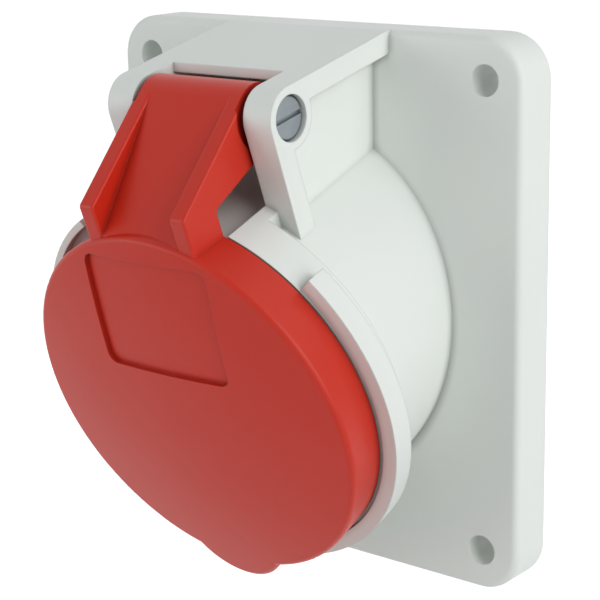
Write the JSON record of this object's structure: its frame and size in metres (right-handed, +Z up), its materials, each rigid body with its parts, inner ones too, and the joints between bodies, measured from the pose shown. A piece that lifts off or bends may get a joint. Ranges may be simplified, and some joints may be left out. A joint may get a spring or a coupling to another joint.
{
  "type": "industrial panel socket",
  "caption": "Angled panel power socket: square screw flange, tilted round tube with a ramp collar, and a sprung hinged lid over recessed contact sleeves.",
  "frame": {"origin": "centre of the flange's hole pattern on its rear face", "axes": "+Y into the panel, +Z up, +X to the right as seen from the front"},
  "size_m": [0.092, 0.0893, 0.1],
  "materials": {
    "body_plastic": "pale grey moulded polyamide, fine satin",
    "lid_plastic": "red moulded polyamide, semi-gloss",
    "pin_steel": "turned, zinc plated",
    "spring_steel": "drawn stainless wire and strip",
    "seal_rubber": "black moulded rubber",
    "insert_plastic": "dark grey moulded polyamide",
    "contact_brass": "turned brass",
    "screw_steel": "zinc plated"
  },
  "bodies": {
    "socket": {"housing": "body_plastic", "hinge_pin": "pin_steel", "lid_spring": "spring_steel", "flange_gasket": "seal_rubber", "contact_insert": "insert_plastic", "terminal_carrier": "insert_plastic", "contact_l1": "contact_brass", "contact_l2": "contact_brass", "contact_l3": "contact_brass", "contact_n": "contact_brass", "contact_pe": "contact_brass", "contact_spring_l1": "spring_steel", "contact_spring_l2": "spring_steel", "contact_spring_l3": "spring_steel", "contact_spring_n": "spring_steel", "contact_spring_pe": "spring_steel", "terminal_screws": "screw_steel", "insert_screws": "screw_steel"},
    "lid": {"lid": "lid_plastic", "lid_gasket": "seal_rubber"}
  },
  "joints": [
    {"name": "lid_hinge", "type": "hinge", "parent": "socket", "child": "lid", "pos_m": [0, -0.03623, 0.03809], "axis": [-1, 0, 0], "range_deg": [0, 120], "stiffness_Nm_per_rad": 0.04, "springref_deg": -57.3, "deforming": ["lid_spring"]}
  ]
}
